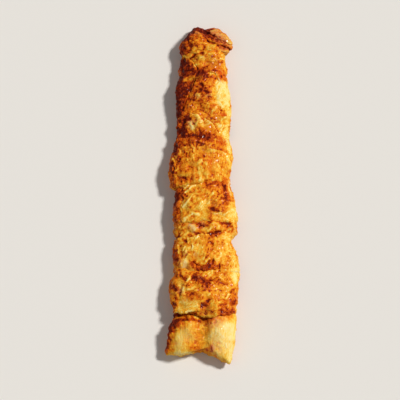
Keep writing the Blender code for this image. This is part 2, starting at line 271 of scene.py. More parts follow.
LOOKS["chicken_03"] = Look("golden_chicken", done=0.39, fibre_angle=64.0, looseness=1.0, relief=[
    lip([(5, 72), (22, 100), (45, 92), (58, 62)], 4.0, 1.3),
    lip([(-72, -42), (-60, -8), (-48, 28), (-35, 62)], 3.6, 1.5),
    groove([(-74, -45), (-62, -8), (-50, 28), (-37, 64)], 1.6, 0.8),
    ring([(8, 11)], 3.4, 0.7),
    ridge([(-25, -2), (-15, -10)], 1.6, 0.6),
    ridge([(12, -6), (28, -3)], 1.3, 0.6),
    groove([(-12, 40), (-6, 37)], 1.5, 1.2),
    pull([(-92, 90)], 5.0, (1.6, -1.6, -1.2)),
    groove([(44, 40), (46, 0), (50, -45), (66, -70)], 1.6, 0.5),
    ridge([(-45, -85), (-25, -93), (-10, -105)], 0.9, 0.8),
    ridge([(-92, 45), (-97, 0), (-90, -40)], 1.2, 0.5),
], marks=[
    brown([(-86, 50), (-92, -10), (-84, -50), (-90, -100)], 4.8, 0.44),
    brown([(-50, 46), (-62, 18), (-78, -5)], 4.0, 0.38),
    brown([(-36, 62), (-50, 25), (-62, -10), (-72, -40)], 1.4, 0.14),
    brown([(-95, 92), (-82, 78)], 2.6, 0.36),
    brown([(-70, 98), (-30, 94), (4, 84)], 3.0, 0.60),
    brown([(-11, 39), (-6, 37)], 1.5, 0.42),
    brown([(-2, 14), (6, 6)], 3.3, 0.46),
    brown([(0, -30), (16, 40)], 8.0, 0.04),
    brown([(28, 72), (42, 68)], 1.4, 0.26),
    pale([(22, 86), (38, 80), (44, 60)], 3.2, 0.12),
    brown([(-48, -20), (-30, -26)], 1.6, 0.24),
    brown([(4, 92), (22, 99), (44, 100)], 2.4, 0.30),
    brown([(-5, 62)], 2.5, 0.12),
    brown([(-62, -20), (-46, -44), (-40, -66)], 3.6, 0.13),
    brown([(0, -92), (36, -90)], 3.2, 0.13),
    pale([(34, -16), (50, -28)], 4.0, 0.10),
    pale([(20, 36), (22, 12)], 2.6, 0.10),
    brown([(56, 36)], 2.4, 0.10),
    pale([(-25, -16)], 2.0, 0.10),
    pale([(56, -20), (56, -42)], 2.6, 0.10),
    brown([(-46, -42)], 2.4, 0.07),
    brown([(66, 80)], 3.2, 0.20),
    brown([(74, -90)], 3.0, 0.26),
    brown([(62, -62)], 1.6, 0.14),
    brown([(22, 28), (30, 12)], 1.3, 0.05),
    brown([(-25, -25), (-5, -28)], 1.5, 0.18),
    brown([(-55, -102)], 3.0, 0.44),
    pale([(-62, 66), (-46, 66)], 1.6, 0.16),
    # Painted highlight on the rim of the lip.
    pale([(18, 90), (36, 94), (50, 80), (56, 62)], 1.4, 0.40),
    pale([(14, -6), (30, -3)], 1.2, 0.26),
    pale([(-24, -2), (-14, -10)], 1.4, 0.22),
    pale([(68, 40), (70, 0), (74, -36)], 5.4, 0.44),
    pale([(88, 50), (94, 0), (93, -85)], 2.6, 0.34),
    pale([(-10, -70), (18, -80)], 3.4, 0.08),
    olive([(0, -62), (20, -88)], 4.6, 0.55),
    olive([(-66, 66), (-30, 66), (-8, 74)], 2.2, 0.60),
    tan([(-22, -6), (-16, -10)], 1.8, 0.50),
    tan([(14, -8), (28, -6)], 1.5, 0.50),
    pale([(-42, -86), (-12, -102)], 1.0, 0.24),
    juice([(72, -90)], 3.0, 1.00),
    juice([(62, 96), (68, 72)], 3.4, 1.00),
    juice([(30, 60), (25, 30)], 2.6, 0.40),
    juice([(40, -45), (45, -80)], 2.6, 0.35),
])

LOOKS["chicken_04"] = Look("charred_chicken", done=0.41, fibre_angle=34.0, looseness=1.0, relief=[
    lip([(-2, 50), (-20, 92), (-45, 108)], 2.6, 0.8),
    lip([(50, -75), (44, -20), (36, 6), (22, 40), (4, 64)], 3.0, 0.8),
    ridge([(-44, 32), (-38, -10)], 1.4, 0.8),
    ridge([(-96, -5), (-86, 38), (-74, 60)], 1.2, 0.7),
    groove([(-72, 55), (-80, 0), (-78, -60)], 1.6, 0.9),
    groove([(-20, -10), (-5, -45)], 1.3, 0.7),
    groove([(48, -70), (58, -10), (55, 50)], 1.5, 0.4),
], marks=[
    brown([(-55, 72), (-76, 40)], 2.8, 0.42),
    brown([(-82, 0), (-68, -40)], 3.4, 0.38),
    brown([(-82, -76), (-55, -60), (-30, -70), (-8, -48)], 3.6, 0.31),
    brown([(-10, -48), (12, -66), (36, -90)], 3.6, 0.34),
    brown([(-75, -80)], 1.7, 0.30),
    brown([(4, -85), (22, -98)], 1.5, 0.30),
    brown([(16, 60), (34, 48), (58, 60)], 4.4, 0.23),
    olive([(20, 60), (50, 55)], 4.0, 0.40),
    pale([(-26, 70), (-26, 0)], 2.2, 0.20),
    pale([(-8, -38), (-26, -42), (-28, -80)], 2.4, 0.38),
    brown([(76, 86)], 2.6, 0.24),
    olive([(72, 86)], 3.0, 0.30),
    brown([(-46, 42)], 2.2, 0.12),
    pale([(56, 2)], 2.6, 0.11),
    brown([(-18, 5), (0, -20)], 1.8, 0.14),
    pale([(-46, 30), (-38, -10)], 1.9, 0.42),
    pale([(-4, 45), (-18, 85), (-42, 104)], 1.1, 0.26),
    pale([(52, -60), (46, -20), (36, 6), (22, 36), (6, 60)], 1.0, 0.26),
    pale([(10, 30), (-10, 20)], 3.4, 0.18),
    tan([(-42, 20), (-12, 60)], 2.6, 0.25),
    cream([(-46, 30), (-38, -5)], 2.0, 0.35),
    pale([(-95, -5), (-84, 36)], 1.0, 0.20),
    pale([(74, 55), (78, 0), (84, -62)], 4.6, 0.38),
    pale([(50, 20), (56, -50)], 2.6, 0.14),
    juice([(64, -100)], 3.2, 1.00),
    juice([(10, 10), (28, -30)], 2.8, 0.35),
])

LOOKS["chicken_05"] = Look("golden_chicken", done=0.34, fibre_angle=86.0, looseness=1.0, relief=[
    ridge([(-5, -2), (-6, -45), (-2, -80)], 1.7, 0.7),
    ridge([(16, -8), (17, -18)], 1.1, 0.4),
    ring([(-84, -30)], 3.0, 0.6),
    ring([(-66, 8)], 1.8, 0.4),
    ring([(-48, 34)], 1.8, 0.3),
    ring([(-84, 18)], 2.2, 0.4),
    lip([(10, 66), (-10, 72), (-30, 74)], 2.2, 0.7),
    lip([(90, 30), (60, 42), (30, 48)], 3.0, 0.8),
    groove([(30, 10), (34, -30), (32, -62)], 2.0, 0.6),
    groove([(-32, -20), (-30, -60), (-36, -95)], 1.6, 0.5),
    groove([(-72, -66), (-52, -70), (-30, -78)], 1.5, 0.7),
    ridge([(88, 10), (96, -20)], 2.0, 0.8),
    groove([(78, 0), (86, -38)], 1.2, 0.5),
], marks=[
    brown([(-74, 95), (-80, 50)], 3.2, 0.38),
    brown([(-66, 100), (-20, 98), (30, 92)], 2.6, 0.40),
    brown([(-60, 72), (-20, 76), (0, 72)], 2.0, 0.20),
    brown([(-26, 70)], 1.4, 0.24),
    brown([(-8, 72), (10, 68)], 1.1, 0.28),
    brown([(-50, 36), (-46, 28)], 1.8, 0.28),
    brown([(-68, 18), (-68, 0)], 1.4, 0.32),
    brown([(7, 18), (4, 8)], 1.3, 0.28),
    brown([(33, 24)], 0.8, 0.30),
    brown([(-20, 2), (-8, 0)], 1.4, 0.16),
    brown([(-96, -22), (-92, -40), (-78, -46)], 1.2, 0.24),
    brown([(-90, 0)], 1.6, 0.18),
    brown([(-70, -70), (-52, -74)], 1.8, 0.28),
    brown([(-84, -78), (-84, -100)], 1.8, 0.26),
    brown([(82, 46)], 1.1, 0.34),
    brown([(88, -10)], 0.9, 0.26),
    brown([(20, 62), (38, 60), (56, 56)], 3.8, 0.22),
    brown([(34, 86)], 2.8, 0.22),
    brown([(-4, 12), (14, 6), (4, -14)], 4.4, 0.11),
    brown([(2, 36)], 3.0, 0.07),
    brown([(56, -14)], 3.0, 0.10),
    brown([(-86, -18), (-86, -42)], 2.4, 0.21),
    pale([(-44, -92)], 2.6, 0.22),
    brown([(-68, -30), (-55, -50)], 4.0, 0.05),
    pale([(-6, -6), (-6, -45), (0, -76)], 2.0, 0.22),
    pale([(16, -8), (17, -18)], 0.9, 0.20),
    pale([(-84, 18)], 2.4, 0.10),
    pale([(34, 46), (52, 34)], 1.7, 0.16),
    pale([(60, -25), (55, -50), (70, 15)], 5.5, 0.09),
    pale([(86, 18), (94, -20)], 2.0, 0.28),
    pale([(86, 85), (88, 30)], 1.8, 0.24),
    pale([(-34, 18), (-10, 16)], 1.8, 0.10),
    brown([(62, 95), (68, 82)], 2.4, 0.12),
    brown([(55, -88), (80, -92)], 2.4, 0.20),
    juice([(58, 98), (68, 82)], 3.4, 1.00),
    olive([(10, 58), (28, 42)], 4.0, 0.55),
    juice([(62, 45), (50, 52)], 2.4, 0.50),
    juice([(34, 0), (33, -50)], 3.2, 0.50),
    juice([(-22, -40), (-26, -75)], 2.6, 0.45),
    juice([(92, -40)], 1.8, 0.50),
])

LOOKS["chicken_06"] = Look("golden_chicken", done=0.34, fibre_angle=52.0, looseness=1.0, relief=[
    ridge([(-34, 60), (-50, 40), (-66, 30)], 0.8, 0.7),
    ridge([(-44, 6), (-58, -18), (-70, -40)], 0.8, 0.8),
    ridge([(26, 30), (15, 10), (7, -25)], 1.0, 0.6),
    ridge([(-66, -92), (-42, -70), (-24, -76)], 1.4, 1.0),
    lip([(10, -44), (22, -50), (42, -54)], 3.4, 0.7),
    groove([(14, -46), (26, -49), (38, -53)], 1.6, 1.8),
    ridge([(-15, -10), (-15, -40)], 3.0, 0.9),
    groove([(-30, 10), (-34, -40)], 1.4, 0.6),
    groove([(52, 70), (62, 20), (60, -30)], 1.6, 0.6),
    lip([(76, 20), (70, 55), (74, 95)], 2.0, 0.8),
    ring([(-67, 20)], 1.8, 0.4),
    ring([(46, 5)], 1.6, 0.3),
], marks=[
    brown([(-95, 80), (-95, 60)], 1.8, 0.30),
    brown([(-76, 90)], 1.8, 0.32),
    brown([(-84, 24), (-96, -15)], 3.0, 0.34),
    brown([(-88, -40), (-88, -90)], 3.2, 0.12),
    brown([(-70, 22), (-64, 18)], 1.4, 0.38),
    brown([(-70, 38)], 0.8, 0.50),
    brown([(-25, 12)], 1.3, 0.22),
    brown([(-45, -40)], 1.2, 0.38),
    brown([(-66, -70)], 1.3, 0.26),
    brown([(8, 72), (28, 66), (50, 74)], 3.4, 0.26),
    brown([(44, 50), (56, 20)], 5.0, 0.14),
    brown([(32, 33), (46, 6)], 1.2, 0.18),
    brown([(58, 60), (60, 48)], 1.9, 0.42),
    brown([(66, 20), (62, -20), (56, -44)], 2.6, 0.22),
    brown([(15, -47), (26, -50), (36, -53)], 2.2, 0.60),
    brown([(15, 36)], 3.0, 0.12),
    brown([(55, -16), (74, -16)], 2.6, 0.20),
    brown([(14, -64), (15, -86)], 2.6, 0.40),
    pale([(-65, 88), (-45, 86)], 3.0, 0.33),
    pale([(-66, -12), (-66, -34)], 2.8, 0.36),
    pale([(-45, -66)], 2.4, 0.22),
    brown([(14, -12), (15, -38)], 2.2, 0.12),
    brown([(36, 88), (55, 88)], 2.6, 0.20),
    brown([(22, -30), (36, -36)], 2.8, 0.26),
    pale([(-34, 60), (-50, 40), (-66, 30)], 0.9, 0.20),
    pale([(-44, 6), (-58, -18), (-70, -40)], 0.9, 0.22),
    pale([(26, 30), (15, 10), (8, -20)], 1.0, 0.14),
    pale([(-14, -14), (-18, -34)], 4.2, 0.16),
    pale([(10, -70), (40, -76), (90, -85)], 2.6, 0.08),
    olive([(16, -14), (30, -22)], 3.0, 0.60),
    olive([(10, -62), (30, -70), (55, -74)], 2.6, 0.50),
    pale([(84, -30), (90, -75)], 4.2, 0.30),
    pale([(-66, -94), (-42, -70), (-24, -76)], 1.5, 0.16),
    pale([(73, 95), (69, 52), (75, 20)], 1.2, 0.30),
    juice([(55, 86), (66, 72)], 3.2, 0.70),
    juice([(66, 30), (70, 0)], 2.4, 0.65),
    juice([(-20, 30)], 3.0, 0.30),
])

LOOKS["chicken_07"] = Look("golden_chicken", done=0.37, fibre_angle=28.0, looseness=1.0, relief=[
    ridge([(-44, 5), (-38, -5)], 2.8, 1.1),
    ridge([(-52, 28), (-46, 20)], 1.2, 0.5),
    ridge([(26, 28), (36, 22)], 3.4, 1.2),
    ridge([(14, 5), (4, -36), (-6, -60)], 1.2, 0.9),
    groove([(-30, 55), (-20, 30), (-4, 15)], 1.4, 0.9),
    groove([(8, -50), (25, -48), (42, -36)], 1.7, 1.4),
    groove([(-55, -35), (-25, -52), (-10, -45)], 1.4, 0.8),
    groove([(45, 45), (75, 32)], 1.5, 0.7),
    lip([(90, -30), (85, 20), (84, 70)], 1.8, 0.9),
    pull([(90, -95)], 4.0, (-2.2, 0.0, 0.0)),
], marks=[
    brown([(-50, 66), (-34, 56), (-24, 30), (-8, 14)], 2.4, 0.44),
    brown([(-2, 20), (6, 48), (18, 76), (36, 88)], 2.2, 0.40),
    brown([(-14, 70), (-10, 30)], 2.4, 0.24),
    brown([(46, 44), (75, 32)], 2.2, 0.36),
    brown([(15, 80)], 2.4, 0.14),
    brown([(15, -82)], 2.6, 0.45),
    pale([(-5, 40), (-4, 0)], 2.2, 0.40),
    pale([(-60, -40), (-44, -40)], 2.0, 0.44),
    brown([(-46, 44)], 1.6, 0.28),
    brown([(55, 2)], 2.0, 0.11),
    brown([(70, 30)], 1.4, 0.22),
    brown([(6, -52), (25, -48), (42, -38)], 2.5, 0.42),
    brown([(-46, -52), (-30, -46), (-16, -52)], 1.8, 0.36),
    brown([(-45, -75)], 1.0, 0.34),
    brown([(-85, -60)], 1.9, 0.36),
    brown([(-66, -105)], 2.2, 0.30),
    brown([(-82, 60)], 2.0, 0.18),
    pale([(-42, 12), (-38, -12)], 3.4, 0.46),
    brown([(30, 25), (40, -10)], 5.0, 0.06),
    tan([(-46, 20), (-38, -10)], 2.6, 0.20),
    cream([(-50, 24), (-40, -12)], 2.4, 0.36),
    tan([(-12, 45), (-8, 10)], 2.0, 0.45),
    pale([(-52, 28)], 1.5, 0.30),
    pale([(24, 32), (38, 20)], 2.6, 0.16),
    pale([(14, 5), (4, -36), (-6, -60)], 1.0, 0.18),
    pale([(62, -60), (84, -75)], 4.2, 0.22),
    pale([(-97, 20), (-95, -80)], 2.0, 0.24),
    olive([(-97, 20), (-95, -80)], 2.0, 0.40),
    pale([(84, 65), (88, 5)], 1.1, 0.28),
    juice([(60, 5), (86, -15)], 2.8, 0.50),
    juice([(-60, 30), (-15, -20)], 2.6, 0.30),
])

LOOKS["chicken_08"] = Look("golden_chicken", done=0.29, fibre_angle=70.0, looseness=1.0, relief=[
    lip([(24, -48), (5, -70), (-15, -92), (-30, -78), (-44, -62)], 4.0, 1.6),
    groove([(-42, -66), (-30, -82), (-15, -98), (6, -76), (24, -54)], 1.5, 1.3),
    ridge([(-74, -48), (-78, -88)], 3.6, 1.2),
    pull([(-98, 10)], 7.0, (-1.2, 0.0, 0.0)),
    pull([(92, 74)], 5.0, (-3.0, 0.0, 0.0)),
    groove([(40, -60), (40, -100)], 1.2, 0.8),
    ridge([(-6, 35), (-8, -10)], 3.0, 0.6),
    groove([(16, 50), (14, 0)], 1.6, 0.5),
    groove([(-50, 60), (-46, 5)], 1.4, 0.5),
    ring([(4, -20)], 1.8, 0.4),
    ring([(-60, -10)], 2.2, 0.4),
    ridge([(80, 0), (88, -60)], 2.2, 0.6),
], marks=[
    brown([(-62, 72)], 2.0, 0.26),
    brown([(-92, 10), (-86, -32)], 2.6, 0.26),
    brown([(-60, -8)], 2.8, 0.24),
    tan([(-60, -4)], 1.6, 0.60),
    brown([(3, 40)], 1.8, 0.18),
    brown([(4, -20)], 1.6, 0.26),
    brown([(15, 92), (15, 70)], 2.8, 0.36),
    brown([(6, -12), (8, 20)], 3.8, 0.14),
    pale([(-45, 60), (-45, 32)], 2.8, 0.12),
    pale([(-28, -18), (-30, -46)], 2.6, 0.26),
    pale([(-46, -46), (-64, -50)], 2.4, 0.12),
    pale([(-66, -64), (-66, -92)], 3.0, 0.38),
    pale([(76, -40), (76, -90)], 3.4, 0.12),
    brown([(-5, -16), (15, -16)], 2.4, 0.13),
    brown([(-5, -44)], 1.8, 0.12),
    pale([(15, -66)], 2.0, 0.18),
    brown([(-88, -92)], 1.8, 0.20),
    pale([(-46, 34)], 2.4, 0.12),
    brown([(74, 60)], 2.2, 0.13),
    pale([(55, 62)], 2.2, 0.10),
    brown([(28, 10), (25, -20)], 2.0, 0.08),
    brown([(-42, -68), (-28, -82), (-12, -95), (6, -78), (16, -62)], 3.2, 0.56),
    brown([(-20, -104), (20, -98)], 2.6, 0.44),
    brown([(40, -70), (30, -100)], 3.4, 0.16),
    brown([(40, -68), (40, -100)], 1.2, 0.34),
    brown([(-82, -95)], 2.2, 0.30),
    brown([(90, -8)], 1.1, 0.34),
    brown([(70, 5)], 0.8, 0.24),
    brown([(66, 30), (80, -35)], 6.0, 0.07),
    pale([(-10, -48), (-18, -62)], 2.8, 0.12),
    pale([(62, 66), (66, 30)], 4.6, 0.10),
    pale([(84, 5), (86, -45)], 2.0, 0.10),
    pale([(84, -60), (86, -100)], 3.0, 0.30),
    pale([(-60, -52), (-64, -68)], 3.0, 0.10),
    pale([(-40, 50), (-10, 30)], 2.8, 0.08),
    juice([(-36, -10), (-30, -30)], 2.4, 0.60),
    # Painted light: brightens the place beside the ridge, which the ridge shades.
    cream([(-66, -60), (-65, -94)], 3.0, 0.42),
    juice([(-66, -66), (-65, -94)], 2.6, 0.30),
    juice([(20, -85), (10, -95)], 2.2, 0.50),
    juice([(62, -96)], 2.2, 0.60),
])

LOOKS["chicken_09"] = Look("golden_chicken", done=0.31, fibre_angle=38.0, looseness=1.0, relief=[
    lip([(70, 18), (45, 34), (32, 40), (18, 28), (6, 24)], 3.6, 1.4),
    lip([(8, 24), (-10, 44), (-32, 50)], 3.2, 1.4),
    groove([(-34, 46), (-12, 38), (8, 18), (28, 34), (70, 14)], 1.5, 1.2),
    lip([(-95, -90), (-60, -93), (-28, -91)], 4.5, 1.5),
    pull([(2, -92)], 6.5, (0.0, 0.0, -2.4)),
    pull([(-96, -72)], 5.5, (1.2, 0.0, 0.0)),
    pull([(-95, -100), (-30, -100)], 4.5, (0.0, 2.2, 0.0)),
    pull([(-94, 58)], 4.0, (1.6, 0.0, 0.0)),
    pull([(-100, 4)], 4.0, (-0.8, 0.0, 0.0)),
    ridge([(-44, 42), (-56, 20)], 1.3, 0.9),
    ridge([(-60, 62)], 3.4, 1.0),
    ridge([(-64, 0), (-60, -20)], 2.0, 0.8),
    groove([(-70, 14), (-72, -20)], 1.6, 0.9),
    ridge([(-46, 2), (-30, 0)], 2.4, 0.8),
    groove([(-45, -20), (-22, -34)], 1.4, 0.7),
    lip([(30, -98), (34, -70), (24, -40), (12, -20)], 2.8, 0.9),
    groove([(-3, -64), (3, -70)], 1.9, 1.2),
    groove([(42, -62), (62, -56)], 1.4, 0.7),
    ring([(62, -18)], 2.0, 0.4),
    ring([(-18, -62)], 2.2, 0.3),
    groove([(40, 100), (42, 70)], 1.2, 0.9),
], marks=[
    brown([(-24, 86), (-5, 76), (10, 90)], 2.0, 0.40),
    brown([(42, 100), (42, 76)], 1.2, 0.34),
    brown([(-75, 55)], 1.8, 0.34),
    brown([(-26, 48), (-14, 40), (-2, 30)], 3.8, 0.64),
    brown([(2, 20), (16, 12)], 2.8, 0.36),
    brown([(20, 34), (36, 46)], 2.4, 0.42),
    brown([(30, 26), (52, 24), (72, 16)], 2.2, 0.20),
    tan([(-18, 44), (-10, 36)], 1.4, 0.50),
    tan([(-72, 4), (-66, -12)], 2.2, 0.60),
    brown([(-86, 8), (-74, -10)], 2.4, 0.38),
    brown([(-80, -34)], 2.4, 0.30),
    brown([(-52, -24), (-34, -24), (-16, -32)], 3.2, 0.26),
    brown([(-72, 70), (-66, 50), (-60, 40)], 1.8, 0.24),
    brown([(-5, 8), (0, -6)], 1.3, 0.32),
    brown([(-26, 36)], 2.4, 0.36),
    brown([(-46, 12)], 2.2, 0.33),
    brown([(74, 36)], 2.6, 0.27),
    brown([(-66, -92), (-30, -88), (0, -88), (18, -88)], 2.6, 0.22),
    pale([(-66, 86), (-45, 86)], 3.0, 0.11),
    pale([(74, 88)], 3.0, 0.12),
    pale([(-66, 34), (-66, 12)], 2.6, 0.22),
    pale([(-66, -38), (-60, -62)], 3.2, 0.28),
    pale([(-26, -16), (-26, -40)], 2.4, 0.20),
    pale([(35, -92)], 2.2, 0.42),
    brown([(36, 62)], 2.4, 0.12),
    brown([(55, -16), (56, -40)], 2.4, 0.12),
    pale([(15, 86)], 2.2, 0.10),
    pale([(-26, 60)], 2.0, 0.11),
    pale([(-5, 35)], 1.8, 0.11),
    pale([(-46, -92)], 2.2, 0.20),
    pale([(-86, -15), (-85, -40)], 2.4, 0.14),
    brown([(15, -30)], 1.8, 0.18),
    brown([(-3, -68), (2, -64)], 2.9, 0.58),
    brown([(4, -54), (12, -44)], 1.8, 0.10),
    # Painted shade on the near wall under the overhang.
    brown([(-90, -104), (-25, -104)], 1.0, 0.60),
    brown([(42, -92), (60, -94), (80, -86)], 3.2, 0.52),
    brown([(80, -46)], 2.2, 0.20),
    brown([(45, -66), (62, -60)], 1.4, 0.24),
    brown([(88, -50)], 1.6, 0.26),
    pale([(-44, 42), (-56, 20)], 1.3, 0.26),
    pale([(20, 56), (30, 50)], 2.2, 0.16),
    pale([(-46, 2), (-30, 0)], 2.4, 0.16),
    pale([(-65, 2), (-60, -20)], 1.5, 0.24),
    pale([(-66, -74), (-36, -70)], 5.0, 0.20),
    brown([(84, 0), (90, -40)], 4.5, 0.08),
    # Painted shade in the sunk saddle and under the overhang.
    olive([(4, -90)], 6.0, 0.90),
    olive([(-80, -96), (-30, -98)], 1.3, 0.60),
    pale([(-86, -93), (-30, -95)], 1.6, 0.14),
    pale([(80, 78), (84, 40)], 3.4, 0.26),
    pale([(55, 55)], 3.0, 0.08),
    pale([(94, -72)], 1.8, 0.30),
    pale([(44, -4), (60, -30)], 2.6, 0.07),
    juice([(58, 66)], 2.2, 0.50),
    juice([(-30, -42), (-60, -42)], 2.6, 0.45),
    juice([(56, -50), (74, -40)], 2.2, 0.50),
    juice([(20, 90)], 2.4, 0.45),
])

LOOKS["chicken_10_near_end"] = Look("pale_chicken", done=0.23, fibre_angle=88.0, looseness=0.15, relief=[
    ridge([(-48, 10), (-50, -40)], 10.0, 2.2),
    ridge([(56, 30), (56, -40)], 9.0, 1.4),
    groove([(14, 80), (10, 20), (7, -30), (5, -75)], 4.6, 1.8),
    groove([(8, 60), (10, 25), (8, -5)], 2.4, 0.9),
    pull([(-85, 85), (-35, 88)], 5.0, (0.0, 0.4, -6.0)),
    pull([(-100, 82)], 6.0, (3.2, -3.0, 0.0)),
    pull([(5, 90)], 5.5, (0.0, 0.0, -2.4)),
    lip([(2, 36), (-14, 46), (-42, 44), (-62, 40), (-84, 24)], 5.0, 1.5),
    ridge([(-32, 66)], 3.0, 1.6),
    pull([(-35, -98)], 5.0, (0.0, 2.2, 0.0)),
    pull([(34, -100)], 4.5, (0.0, 2.8, 0.0)),
    pull([(82, -100)], 4.0, (0.0, -3.0, 0.0)),
    pull([(-2, -80)], 1.1, (0.0, -1.6, 0.0)),
    pull([(10, -80)], 1.0, (0.3, -1.4, 0.0)),
    pull([(-95, 30)], 5.0, (1.0, 0.0, 0.0)),
    groove([(40, 50), (34, -30)], 2.4, 0.4),
], marks=[
    # Partly painted shade behind the left lobe's rim, and painted shadow in the gap under the ninth piece.
    brown([(-88, 30), (-66, 48), (-42, 52), (-26, 52), (-6, 48)], 2.2, 0.62),
    brown([(-86, 30), (-60, 48)], 4.2, 0.68),
    brown([(-90, 84), (-30, 86)], 2.4, 0.70),
    brown([(-25, 68)], 1.6, 0.34),
    brown([(-34, 62)], 3.4, 0.16),
    brown([(-92, 10), (-96, -52)], 3.4, 0.28),
    # Painted shade in the valley between the lobes, and painted shadow where the ninth piece shades it.
    olive([(10, 75), (12, 30), (10, -30)], 5.0, 0.65),
    brown([(2, 62), (30, 68)], 3.0, 0.34),
    brown([(30, 60), (55, 62), (76, 62)], 4.0, 0.24),
    brown([(20, 38), (38, 36)], 4.0, 0.10),
    brown([(-42, 34), (-26, 34)], 4.0, 0.09),
    pale([(-26, 88)], 2.4, 0.20),
    pale([(55, 90)], 2.4, 0.14),
    brown([(-26, -42)], 3.0, 0.10),
    pale([(16, -16)], 3.0, 0.12),
    brown([(-5, 12), (-10, -40)], 4.0, 0.16),
    pale([(-64, 12), (-66, -60)], 4.0, 0.15),
    pale([(16, -18), (18, -42)], 3.4, 0.09),
    brown([(16, -60)], 1.2, 0.36),
    brown([(28, -50), (33, -62)], 1.8, 0.36),
    brown([(-25, -54), (-8, -58)], 2.8, 0.18),
    brown([(-60, -40), (-20, -50), (30, -66)], 6.0, 0.07),
    brown([(48, 84), (62, 84), (80, 90)], 2.0, 0.34),
    pale([(62, 30), (62, -40)], 7.0, 0.12),
    pale([(84, 50), (84, 0), (82, -80)], 4.6, 0.16),
    pale([(-80, -86), (-40, -76), (-10, -66)], 1.6, 0.14),
    tan([(-36, 10), (-26, -10)], 4.0, 0.25),
    cream([(-45, -10), (-60, -40)], 5.0, 0.16),
    cream([(50, 30), (52, -55)], 7.0, 0.36),
    cream([(80, 30), (80, -50)], 4.0, 0.25),
    juice([(-30, 36), (-12, 28)], 2.8, 0.30),
    juice([(60, 55), (52, 35)], 2.8, 0.28),
])


# Tools for modelling by hand.

def select_only(piece):
    """Leave one piece selected and active."""
    bpy.ops.object.select_all(action="DESELECT")
    piece.select_set(True)
    bpy.context.view_layer.objects.active = piece


def apply_modifier(piece, kind, **settings):
    """Add one modifier with its settings and apply it."""
    select_only(piece)
    bpy.ops.object.modifier_add(type=kind)
    modifier = piece.modifiers[-1]
    for name, value in settings.items():
        setattr(modifier, name, value)
    bpy.ops.object.modifier_apply(modifier=modifier.name)


def read_rows(items, name, width, kind=np.float32):
    """Return one property of a mesh's items as an array of rows."""
    flat = np.empty(len(items) * width, dtype=kind)
    items.foreach_get(name, flat)
    return flat.reshape(-1, width)


def read_points(mesh):
    """Return the vertex places as an array."""
    return read_rows(mesh.vertices, "co", 3, float)


def read_normals(mesh):
    """Return the vertex normals as an array."""
    return read_rows(mesh.vertex_normals, "vector", 3).astype(float)


def write_points(mesh, points):
    """Move the vertices to new places."""
    mesh.vertices.foreach_set("co", points.ravel())
    mesh.update()


def write_attribute(mesh, name, values):
    """Store one number for each vertex, for the materials to read."""
    attribute = mesh.attributes.new(name, "FLOAT", "POINT")
    attribute.data.foreach_set("value", values.astype(np.float32))


def grain(points, size, seed):
    """Return a smooth random value from -1 to 1 at each point; size is the width of its blobs."""
    cells = points / size + SEED_STEP * seed
    base = np.floor(cells)
    part = cells - base
    ease = part * part * (3.0 - 2.0 * part)
    corner_base = base.astype(np.int64)
    total = np.zeros(len(points))
    for corner in range(8):
        step = np.array([corner & 1, corner >> 1 & 1, corner >> 2 & 1])
        cell = corner_base + step
        mixed = np.bitwise_xor.reduce(cell * HASH_PRIMES, axis=1)
        mixed = (mixed ^ (mixed >> 13)) * HASH_MIXER & 0x7FFFFFFF
        mixed = (mixed ^ (mixed >> 11)) % HASH_VALUES
        weight = np.prod(np.where(step, ease, 1.0 - ease), axis=1)
        total += weight * (mixed / (HASH_VALUES // 2) - 1.0)
    return total


def layered_grain(points, layers, seed):
    """Add up layers of grain."""
    return sum(amount * grain(points, width, seed + shift) for amount, width, shift in layers)


def joint_line(points, far):
    """Return the curve through the outermost places of one end, as y from x."""
    across = points[:, 0]
    middle = (across.max() + across.min()) / 2.0
    half = (across.max() - across.min()) / 2.0
    places = middle + half * np.linspace(-JOINT_SPAN, JOINT_SPAN, JOINT_PLACES)
    ends = []
    for place in places:
        strip = points[np.abs(across - place) < JOINT_STRIP, 1]
        ends.append(strip.max() if far else strip.min())
    return np.poly1d(np.polyfit(places, ends, 2))


def press_end(points, far, seed):
    """Square up one end of a piece where its neighbour presses on it."""
    outward = 1.0 if far else -1.0
    inset = outward * (joint_line(points, far)(points[:, 0]) - points[:, 1])
    insets = np.linspace(0.0, PRESS_REACH, PRESS_STEPS)
    half_step = max(0.5 * insets[1], PRESS_SLICE)
    middle = np.array([points[:, 0].mean(), 0.0, points[:, 2].max() * PRESS_HEIGHT])
    stretched = points.copy()
    for axis in (0, 2):
        for side in (-1.0, 1.0):
            reach = side * (points[:, axis] - middle[axis])
            sizes = np.array([reach[np.abs(inset - step) < half_step].max() for step in insets])
            stretch = (sizes[-1] / sizes) ** PRESS_SHARES[axis]
            factor = np.interp(inset, insets, np.maximum(stretch, 1.0))
            there = reach > 0.0
            stretched[there, axis] = middle[axis] + side * (reach * factor)[there]
    share = np.clip(1.0 - inset / PRESS_REACH, 0.0, 1.0)
    waver = PRESS_WAVER * grain(points, WAVER_CELL, seed)
    stretched[:, 1] += outward * (PRESS_OVERLAP + waver) * share
    points[:] = stretched


